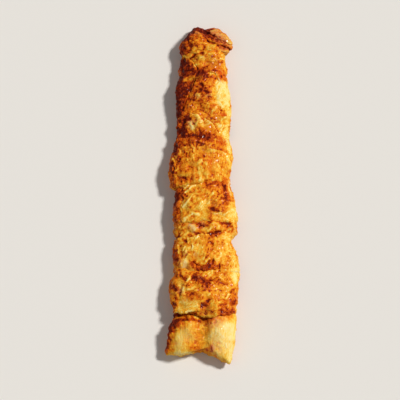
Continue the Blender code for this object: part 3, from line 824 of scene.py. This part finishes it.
def skinned_copy(node, pressed_far, pressed_near, seed):
    """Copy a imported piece, weld its facets, press its ends square and give it an even skin."""
    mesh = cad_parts[node].data.copy()
    mesh.materials.clear()
    meat = bpy.data.objects.new(node + "_meat", mesh)
    bpy.context.scene.collection.objects.link(meat)
    select_only(meat)
    bpy.ops.object.mode_set(mode="EDIT")
    bpy.ops.mesh.select_all(action="SELECT")
    bpy.ops.mesh.remove_doubles(threshold=WELD)
    bpy.ops.mesh.tris_convert_to_quads()
    bpy.ops.object.mode_set(mode="OBJECT")
    apply_modifier(meat, "SUBSURF", levels=1)
    apply_modifier(meat, "REMESH", mode="VOXEL", voxel_size=SKIN_VOXEL)
    points = read_points(meat.data)
    if pressed_far:
        press_end(points, True, seed)
    if pressed_near:
        press_end(points, False, seed + 1)
    write_points(meat.data, points)
    apply_modifier(meat, "SMOOTH", factor=0.5, iterations=SKIN_SMOOTHING)
    apply_modifier(meat, "SUBSURF", levels=1)
    return meat


def smooth_step(values, low, high):
    """Return a soft ramp from 0 at low to 1 at high."""
    share = np.clip((values - low) / (high - low), 0.0, 1.0)
    return share * share * (3.0 - 2.0 * share)


def bell(distance, width):
    """Return a soft bump that is 1 at nought and fades over a width."""
    return np.exp(-((distance / width) ** 2))


def path_in_metres(node, path):
    """Turn a path in the piece's own plan into places in metres."""
    low, high = np.array(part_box(node))[:, :2]
    return (low + high) / 2.0 + np.array(path) / PLAN_EDGE * (high - low) / 2.0


def measure_path(plan, path):
    """Return each point's distance to a path, the side it is on, and the sideways direction."""
    if len(path) == 1:
        away = plan - path[0]
        distance = np.linalg.norm(away, axis=1)
        return distance, np.ones(len(plan)), away / np.maximum(distance, 1e-9)[:, None]
    nearest = np.full(len(plan), np.inf)
    side = np.ones(len(plan))
    sideways = np.zeros_like(plan)
    for start, end in zip(path[:-1], path[1:]):
        run = end - start
        length = np.linalg.norm(run)
        share = np.clip((plan - start) @ run / length ** 2, 0.0, 1.0)
        away = plan - start - share[:, None] * run
        distance = np.linalg.norm(away, axis=1)
        left = np.array([-run[1], run[0]]) / length
        closer = distance < nearest
        nearest[closer] = distance[closer]
        side[closer] = np.sign(away[closer] @ left)
        sideways[closer] = left
    return nearest, side, sideways


def sculpt_stroke(points, normals, plan, node, stroke):
    """Raise or sink the skin along one stroke."""
    path = path_in_metres(node, stroke.path)
    distance, side, sideways = measure_path(plan, path)
    reach = stroke.reach * MM
    if stroke.shape == "pull":
        move = bell(distance, reach)[:, None] * np.array(stroke.height) * MM
        move[:, 2] *= np.clip(points[:, 2] / LOOSE_ABOVE, 0.0, 1.0)
        points += move
        return
    height = stroke.height * MM
    upward = smooth_step(normals[:, 2], *FACES_UP)[:, None]
    if stroke.shape == "ridge":
        lift = height * bell(distance, reach)
    elif stroke.shape == "groove":
        lift = -height * bell(distance, reach)
    elif stroke.shape == "ring":
        place, width = RING_WALL
        wall = bell(distance / reach - place, width)
        depth, width = RING_DIMPLE
        lift = height * (wall - depth * bell(distance / reach, width))
    else:
        across = distance * side
        sheet = smooth_step(across, -LIP_EDGE, LIP_EDGE) * np.exp(-np.maximum(across, 0.0) / reach)
        depth, width = LIP_GUTTER
        lift = height * (sheet - depth * bell(across + width, width))
        amount, place, width = LIP_OVERHANG
        overhang = amount * height * bell(across - place, width)
        points[:, :2] -= sideways * (overhang[:, None] * upward)
    points += normals * lift[:, None] * upward


def paint_mark(tones, plan, ragged, node, mark):
    """Add one mark to a tone of the skin, with a ragged edge."""
    path = path_in_metres(node, mark.path)
    distance = measure_path(plan, path)[0] / (mark.reach * MM)
    strength = np.exp(-(np.maximum(distance + MARK_RAGGED * ragged, 0.0) ** MARK_FALL))
    tones[mark.tone] += mark.amount * strength


def loose_shreds(node, look, seed):
    """Scatter thin strands along the fibres and small pits, darker inside, over a piece."""
    chance = np.random.default_rng(seed)
    low, high = np.array(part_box(node))[:, :2]
    half = (high - low) / 2.0
    relief = []
    marks = []
    for _ in range(round(SHREDS * look.looseness)):
        start = chance.uniform(*SHRED_AREA)
        turn = radians(look.fibre_angle + chance.uniform(-SHRED_TURN, SHRED_TURN))
        length = chance.uniform(*SHRED_LENGTH) * MM
        bend = chance.uniform(-SHRED_BEND, SHRED_BEND)
        middle = start + 0.5 * length * np.array([cos(turn), sin(turn)]) / half
        end = middle + 0.5 * length * np.array([cos(turn + bend), sin(turn + bend)]) / half
        path = [PLAN_EDGE * place for place in (start, middle, end)]
        reach, least, most = SHRED_PALE
        relief.append(ridge(path, chance.uniform(*SHRED_REACH), chance.uniform(*SHRED_HEIGHT)))
        marks.append(pale(path, reach, chance.uniform(least, most)))
    for _ in range(round(PITS * look.looseness)):
        path = [PLAN_EDGE * chance.uniform(*PIT_AREA)]
        size = chance.uniform(*PIT_SIZE)
        relief.append(groove(path, size, chance.uniform(*PIT_DEPTH)))
        marks.append(brown(path, size, chance.uniform(*PIT_BROWN)))
    return relief, marks


def crest_of(mesh, points, normals):
    """Return how far each place stands out of the smoothed skin, from -1 to 1."""
    ends = read_rows(mesh.edges, "vertices", 2, np.int32)
    first = np.concatenate([ends[:, 0], ends[:, 1]])
    second = np.concatenate([ends[:, 1], ends[:, 0]])
    count = np.maximum(np.bincount(first, minlength=len(points)), 1)
    smooth = points.copy()
    for _ in range(CREST_PASSES):
        for axis in range(3):
            total = np.bincount(first, weights=smooth[second, axis], minlength=len(points))
            smooth[:, axis] = total / count
    return np.clip(np.sum((points - smooth) * normals, axis=1) / CREST_HEIGHT, -1.0, 1.0)


def along_fibres(points, angle, length, width):
    """Squeeze space so that grain stretches along the muscle fibres."""
    turn = radians(angle)
    along = points[:, 0] * cos(turn) + points[:, 1] * sin(turn)
    across = -points[:, 0] * sin(turn) + points[:, 1] * cos(turn)
    return np.column_stack([along / length, across / width, points[:, 2] / width])


def creased(values):
    """Turn grain into folds with sharp crests."""
    return 1.0 - 2.0 * np.abs(values)


def sculpt_piece(number, node, look):
    """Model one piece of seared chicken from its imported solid."""
    seed = number + 1
    meat = skinned_copy(node, number > 0, number < len(LOOKS) - 1, seed + JOINT_SEED)
    mesh = meat.data
    points = read_points(mesh)
    normals = read_normals(mesh)
    resting = points[:, 2] < FLAT_UNDER

    # Uneven body: slow swells, then the strokes of this piece.
    points += normals * layered_grain(points, BODY_SWELLS, seed)[:, None]
    wander = np.column_stack([layered_grain(points, layers, seed) for layers in WANDER_GRAIN])
    plan = points[:, :2] + STROKE_WANDER * wander
    shreds, shred_marks = loose_shreds(node, look, seed)
    for stroke in look.relief + shreds:
        sculpt_stroke(points, normals, plan, node, stroke)
    write_points(mesh, points)
    normals = read_normals(mesh)

    # How far each place is cooked. Marks that overlap level off at the darkest char.
    turned = points @ GRAIN_TURN
    ragged = layered_grain(points, RAGGED_GRAIN, seed) + layered_grain(turned, RAGGED_FINE, seed)
    tones = {tone: np.zeros(len(points)) for tone in ("doneness", *TINTS)}
    for mark in look.marks + shred_marks:
        paint_mark(tones, plan, ragged, node, mark)
    change = tones["doneness"]
    room = np.where(change > 0.0, DARKEST - look.done, look.done)
    doneness = look.done + room * np.tanh(change / room)
    # Painted shade: the left flank, which faces away from the key light, is browned further on top of its
    # own searing.
    doneness += LEFT_SEAR_AND_SHADE * smooth_step(-normals[:, 0], *LEFT_SHADE_RANGE)
    doneness += layered_grain(points, DRIFT_GRAIN, seed)
    patches = layered_grain(points, PATCH_GRAIN, seed) + PATCH_RAGGED * ragged
    for sign, (amount, low, high) in ((1.0, BROWN_PATCHES), (-1.0, PALE_PATCHES)):
        doneness += sign * amount * look.looseness * smooth_step(sign * patches, low, high)
    lower = smooth_step(-normals[:, 2], *UNDER_RANGE)
    seared_under = look.done + UNDER_BROWNING + layered_grain(points, UNDER_GRAIN, seed)
    seared_under += UNDER_RAGGED * ragged
    doneness = np.clip(doneness * (1.0 - lower) + seared_under * lower, 0.0, DARKEST)

    # Crust: wrinkles and blisters where it is cooked far, fine fibres where it is not.
    fibre_space = along_fibres(points, look.fibre_angle, *FIBRE_SPACE) + FIBRE_WAVER * wander[:, :1]
    relief = FIBRE_RELIEF * creased(layered_grain(fibre_space, FIBRE_GRAIN, seed))
    crust = smooth_step(doneness, *CRUST_RANGE)
    for height, width, shift, uncooked, is_creased, is_turned in CRUST_RELIEF:
        bumps = grain(turned if is_turned else points, width, seed + shift)
        if is_creased:
            bumps = creased(bumps)
        relief += height * bumps * (uncooked + (1.0 - uncooked) * crust)

    # The flanks carry no strokes, so their grain is coarser and deeper.
    flank = smooth_step(-normals[:, 2], *FLANK_RANGE)
    folds = creased(layered_grain(points, FLANK_GRAIN, seed))
    relief *= 1.0 + FLANK_GAIN * flank
    height, uncooked = FLANK_FOLDS
    relief += height * folds * flank * (uncooked + (1.0 - uncooked) * crust)
    points += normals * relief[:, None]

    points[:, 2] = np.where(resting, np.clip(points[:, 2], 0.0, FLAT_UNDER), points[:, 2])
    points[:, 2] = np.maximum(points[:, 2], 0.0)
    write_points(mesh, points)
    normals = read_normals(mesh)
    write_attribute(mesh, "doneness", doneness)
    for tint in TINTS:
        write_attribute(mesh, tint, np.clip(tones[tint], 0.0, 1.0))
    write_attribute(mesh, "crest", crest_of(mesh, points, normals))
    mesh.shade_smooth()
    mesh.materials.append(chicken_skin(node, look))
    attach(meat, "root")
    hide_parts(node)


# Materials.

# Procedural noise: (scale, detail, roughness).
BROAD_PATCHES = (290.0, 3.0, 0.62)
FINE_SPECKS = (700.0, 2.0, 0.60)
FINEST_GRIT = (1250.0, 1.0, 0.50)
FIBRE_STREAKS = (1.0, 1.0, 0.50)
OILY_SPOTS = (420.0, 1.0, 0.5)
PEBBLES = (1100.0, 3.0, 0.65)
FINE_FIBRES = (1.0, 2.0, 0.55)
FINE_FIBRE_SIZE = (7.0 * MM, 0.7 * MM, 0.7 * MM)
NOISE_MIDDLE = 0.50

# Where noise or doneness goes from no effect to full effect.
ISLAND_RANGE = (0.55, 0.62)
DOT_RANGE = (0.58, 0.66)
SPREAD_RANGE = (0.10, 0.36)
STREAKY_RANGE = (0.30, 0.60)
UNBURNT_RANGE = (0.22, 0.45)
OILY_RANGE = (0.54, 0.66)

# How much each noise changes the doneness.
ISLAND_BROWNING = 0.17
DOT_BROWNING = 0.09
DRIFT_STRENGTH = 0.30
GRIT_STRENGTH = 0.48
STREAK_STRENGTH = 0.38
# Painted highlight and shade: crests of the relief are made paler and creases darker.
CREST_HIGHLIGHT_AND_SHADE = -0.12
PALE_MOTTLING = 0.45                    # share of that noise on the palest piece

# Gloss and the finest bumps.
ROUGHNESS = 0.34
BURNT_ROUGHNESS = 0.16
PATCHY_ROUGHNESS = 0.35
OILY_COAT = 0.45
RAW_PEBBLES = 0.25                      # height of the pebbles where the meat is uncooked
FIBRE_HEIGHT = 0.6

# Colour of chicken from hardly cooked to burnt: (doneness, linear colour).
COOKING = [
    (0.00, (0.95, 0.76, 0.29)),
    (0.12, (0.93, 0.61, 0.095)),
    (0.25, (0.88, 0.42, 0.026)),
    (0.38, (0.80, 0.260, 0.010)),
    (0.50, (0.70, 0.150, 0.005)),
    (0.61, (0.52, 0.070, 0.003)),
    (0.72, (0.28, 0.024, 0.003)),
    (0.84, (0.12, 0.008, 0.003)),
    (1.00, (0.030, 0.003, 0.002)),
]


def feed(tree, node, inputs):
    """Fill a node's inputs; each is a value or another node's output."""
    for key, value in inputs.items():
        if isinstance(value, bpy.types.NodeSocket):
            tree.links.new(value, node.inputs[key])
        else:
            node.inputs[key].default_value = value
    return node


def maths(tree, operation, first, second, clamp=False):
    """Add a Math node; each side is a number or an output. Return its result."""
    node = tree.nodes.new("ShaderNodeMath")
    node.operation = operation
    node.use_clamp = clamp
    return feed(tree, node, {0: first, 1: second}).outputs[0]


def new_group(name, inputs, outputs):
    """Start a shader node group with named sockets; return its tree and its two end nodes."""
    tree = bpy.data.node_groups.new(name, "ShaderNodeTree")
    for in_out, sockets in (("INPUT", inputs), ("OUTPUT", outputs)):
        for socket_name, kind in sockets.items():
            tree.interface.new_socket(socket_name, in_out=in_out, socket_type="NodeSocket" + kind)
    return tree, tree.nodes.new("NodeGroupInput"), tree.nodes.new("NodeGroupOutput")


def noise(tree, place, kind):
    """Add a Noise Texture of one kind on a place; return its value."""
    scale, detail, roughness = kind
    node = tree.nodes.new("ShaderNodeTexNoise")
    feed(tree, node, {"Vector": place, "Scale": scale, "Detail": detail, "Roughness": roughness})
    return node.outputs["Fac"]


def centred(tree, value, strength):
    """Shift noise to lie evenly round nought and scale it; return the result."""
    return maths(tree, "MULTIPLY", maths(tree, "SUBTRACT", value, NOISE_MIDDLE), strength)


def soft_range(tree, value, low, high):
    """Add a Map Range node that ramps softly from 0 at low to 1 at high; return its result."""
    node = tree.nodes.new("ShaderNodeMapRange")
    node.interpolation_type = "SMOOTHSTEP"
    feed(tree, node, {"Value": value, "From Min": low, "From Max": high})
    return node.outputs["Result"]


def tinted(tree, share, colour, tint):
    """Mix a linear colour into another by a share; return the result."""
    node = tree.nodes.new("ShaderNodeMix")
    node.data_type = "RGBA"
    return feed(tree, node, {"Factor": share, 6: colour, 7: (*tint, 1.0)}).outputs[2]


def cooked_tone_group():
    """Group: colour, gloss and crust masks of chicken from how far it is cooked, with painted highlight on
    crests and painted shade in creases.
    """
    inputs = {"Place": "Vector", "Fibre place": "Vector", "Doneness": "Float"}
    inputs.update({tint.capitalize(): "Float" for tint in TINTS})
    inputs.update({"Crest": "Float", "Mottling": "Float"})
    outputs = {"Color": "Color", "Doneness": "Float", "Roughness": "Float", "Coat": "Float"}
    tree, start, end = new_group("cooked_tone", inputs, outputs)
    given = start.outputs
    add = partial(maths, tree, "ADD")
    times = partial(maths, tree, "MULTIPLY")

    broad = noise(tree, given["Place"], BROAD_PATCHES)
    fine = noise(tree, given["Place"], FINE_SPECKS)
    islands = times(soft_range(tree, broad, *ISLAND_RANGE), ISLAND_BROWNING)
    dots = times(soft_range(tree, fine, *DOT_RANGE), DOT_BROWNING)
    uneven = times(add(islands, dots), soft_range(tree, given["Doneness"], *SPREAD_RANGE))
    drift = centred(tree, broad, DRIFT_STRENGTH)
    grit = centred(tree, noise(tree, given["Place"], FINEST_GRIT), GRIT_STRENGTH)
    uneven = times(add(add(uneven, drift), grit), given["Mottling"])
    streaks = noise(tree, given["Fibre place"], FIBRE_STREAKS)
    uneven = add(uneven, centred(tree, streaks, STREAK_STRENGTH))
    # Painted highlight on crests and painted shade in creases.
    crest = times(given["Crest"], CREST_HIGHLIGHT_AND_SHADE)
    doneness = add(add(given["Doneness"], uneven), crest, clamp=True)
    doneness = maths(tree, "MINIMUM", doneness, DARKEST)

    ramp = tree.nodes.new("ShaderNodeValToRGB")
    ramp.color_ramp.interpolation = "LINEAR"
    stops = ramp.color_ramp.elements
    while len(stops) < len(COOKING):
        stops.new(0.5)
    for stop, (position, colour) in zip(stops, COOKING):
        stop.position = position
        stop.color = (*colour, 1.0)
    feed(tree, ramp, {"Fac": doneness})

    unburnt = soft_range(tree, maths(tree, "SUBTRACT", 1.0, doneness), *UNBURNT_RANGE)
    streaky = times(soft_range(tree, fine, *STREAKY_RANGE), unburnt)
    colour = ramp.outputs["Color"]
    for tint, tint_colour in TINTS.items():
        colour = tinted(tree, times(given[tint.capitalize()], streaky), colour, tint_colour)

    roughness = add(times(doneness, BURNT_ROUGHNESS), times(broad, PATCHY_ROUGHNESS))
    roughness = add(roughness, ROUGHNESS, clamp=True)
    oily = soft_range(tree, noise(tree, given["Place"], OILY_SPOTS), *OILY_RANGE)
    coat = times(oily, times(given["Mottling"], OILY_COAT))
    feed(tree, end, {"Color": colour, "Doneness": doneness, "Roughness": roughness, "Coat": coat})
    return tree


def crust_grain_group():
    """Group: the height of the finest wrinkles and fibres, for a Bump node."""
    inputs = {"Place": "Vector", "Fibre place": "Vector", "Doneness": "Float"}
    tree, start, end = new_group("crust_grain", inputs, {"Height": "Float"})
    given = start.outputs
    pebbles = noise(tree, given["Place"], PEBBLES)
    crusty = maths(tree, "MULTIPLY", pebbles, maths(tree, "ADD", given["Doneness"], RAW_PEBBLES))
    fibres = maths(tree, "MULTIPLY", noise(tree, given["Fibre place"], FINE_FIBRES), FIBRE_HEIGHT)
    feed(tree, end, {"Height": maths(tree, "ADD", crusty, fibres)})
    return tree


COOKED_TONE = cooked_tone_group()
CRUST_GRAIN = crust_grain_group()


def add_group(tree, group, inputs):
    """Place a node group in a material and fill its inputs; return its outputs."""
    node = tree.nodes.new("ShaderNodeGroup")
    node.node_tree = group
    return feed(tree, node, inputs).outputs


def read_attribute(tree, name):
    """Return the value of a vertex attribute in a material."""
    node = tree.nodes.new("ShaderNodeAttribute")
    node.attribute_name = name
    return node.outputs["Fac"]


def chicken_skin(node_name, look):
    """Make the seared skin of one piece, with fibres along its own muscle."""
    material = bpy.data.materials.new(node_name + "_skin")
    material.use_nodes = True
    tree = material.node_tree
    shader = tree.nodes["Principled BSDF"]
    place = tree.nodes.new("ShaderNodeTexCoord").outputs["Object"]

    along = tree.nodes.new("ShaderNodeMapping")
    along.vector_type = "TEXTURE"
    turn = (0.0, 0.0, radians(look.fibre_angle))
    feed(tree, along, {"Vector": place, "Rotation": turn, "Scale": FINE_FIBRE_SIZE})
    places = {"Place": place, "Fibre place": along.outputs["Vector"]}

    masks = {name.capitalize(): read_attribute(tree, name) for name in ("doneness", *TINTS, "crest")}
    mottling = PALE_MOTTLING if look.slot == "pale_chicken" else 1.0
    tone = add_group(tree, COOKED_TONE, {**places, **masks, "Mottling": mottling})
    crust = add_group(tree, CRUST_GRAIN, {**places, "Doneness": tone["Doneness"]})
    bump = tree.nodes.new("ShaderNodeBump")
    feed(tree, bump, {"Strength": 0.75, "Distance": 0.38 * MM, "Height": crust["Height"]})

    tree.links.new(tone["Color"], shader.inputs["Base Color"])
    tree.links.new(tone["Roughness"], shader.inputs["Roughness"])
    tree.links.new(tone["Coat"], shader.inputs["Coat Weight"])
    tree.links.new(bump.outputs["Normal"], shader.inputs["Normal"])
    shader.inputs["Specular IOR Level"].default_value = 0.04
    shader.inputs["Coat Roughness"].default_value = 0.18
    shader.inputs["Subsurface Weight"].default_value = 0.08
    shader.inputs["Subsurface Radius"].default_value = (1.0, 0.45, 0.15)
    shader.inputs["Subsurface Scale"].default_value = 1.5 * MM
    return material


# Floor, light and camera.

WARM_WHITE = (1.0, 0.97, 0.93)
CAMERA_ELEVATION = 80.0
CAMERA_DISTANCE = 5.0
VIEW_WIDTH = 0.3575                     # width of the view at the kebab
VIEW_CENTRE = Vector((-2.7 * MM, -5.9 * MM, 12.0 * MM))


def pale_floor():
    """A plain pale floor just below the kebab."""
    bpy.ops.mesh.primitive_plane_add(size=6.0, location=(0.0, 0.0, -0.05 * MM))
    floor = bpy.context.active_object
    floor.name = "pale_floor"
    material = bpy.data.materials.new("pale_floor")
    material.use_nodes = True
    shader = material.node_tree.nodes["Principled BSDF"]
    shader.inputs["Base Color"].default_value = (0.80, 0.79, 0.77, 1.0)
    shader.inputs["Roughness"].default_value = 0.85
    floor.data.materials.append(material)


def soft_light(name, azimuth, elevation, softness, power, colour):
    """Add a distant studio light that points at the kebab. Its three angles are in degrees."""
    light = bpy.data.lights.new(name, "SUN")
    light.angle = radians(softness)
    light.energy = power
    light.color = colour
    lamp = bpy.data.objects.new(name, light)
    turn = radians(azimuth)
    rise = radians(elevation)
    direction = Vector((cos(rise) * cos(turn), cos(rise) * sin(turn), sin(rise)))
    lamp.location = direction
    lamp.rotation_euler = direction.to_track_quat("Z", "Y").to_euler()
    bpy.context.scene.collection.objects.link(lamp)


def studio():
    """Key light from the right, weak fill from the left, and a pale surround."""
    soft_light("key", azimuth=22.0, elevation=53.0, softness=8.0, power=2.87, colour=(1.0, 0.97, 0.92))
    soft_light("fill", azimuth=200.0, elevation=55.0, softness=60.0, power=0.20, colour=WARM_WHITE)
    world = bpy.data.worlds.new("studio")
    world.use_nodes = True
    background = world.node_tree.nodes["Background"]
    feed(world.node_tree, background, {"Color": (*WARM_WHITE, 1.0), "Strength": 0.20})
    bpy.context.scene.world = world
    bpy.context.scene.view_settings.view_transform = "Standard"


def kebab_camera():
    """A long lens that looks almost straight down, from slightly in front."""
    camera = bpy.data.cameras.new("camera")
    camera.sensor_width = 36.0
    camera.lens = camera.sensor_width * CAMERA_DISTANCE / VIEW_WIDTH
    rig = bpy.data.objects.new("camera", camera)
    tilt = radians(CAMERA_ELEVATION)
    direction = Vector((0.0, -cos(tilt), sin(tilt)))
    rig.location = VIEW_CENTRE + CAMERA_DISTANCE * direction
    rig.rotation_euler = direction.to_track_quat("Z", "Y").to_euler()
    bpy.context.scene.collection.objects.link(rig)
    bpy.context.scene.camera = rig


kebab_camera()
studio()
pale_floor()
for number, (node, look) in enumerate(LOOKS.items()):
    sculpt_piece(number, node, look)
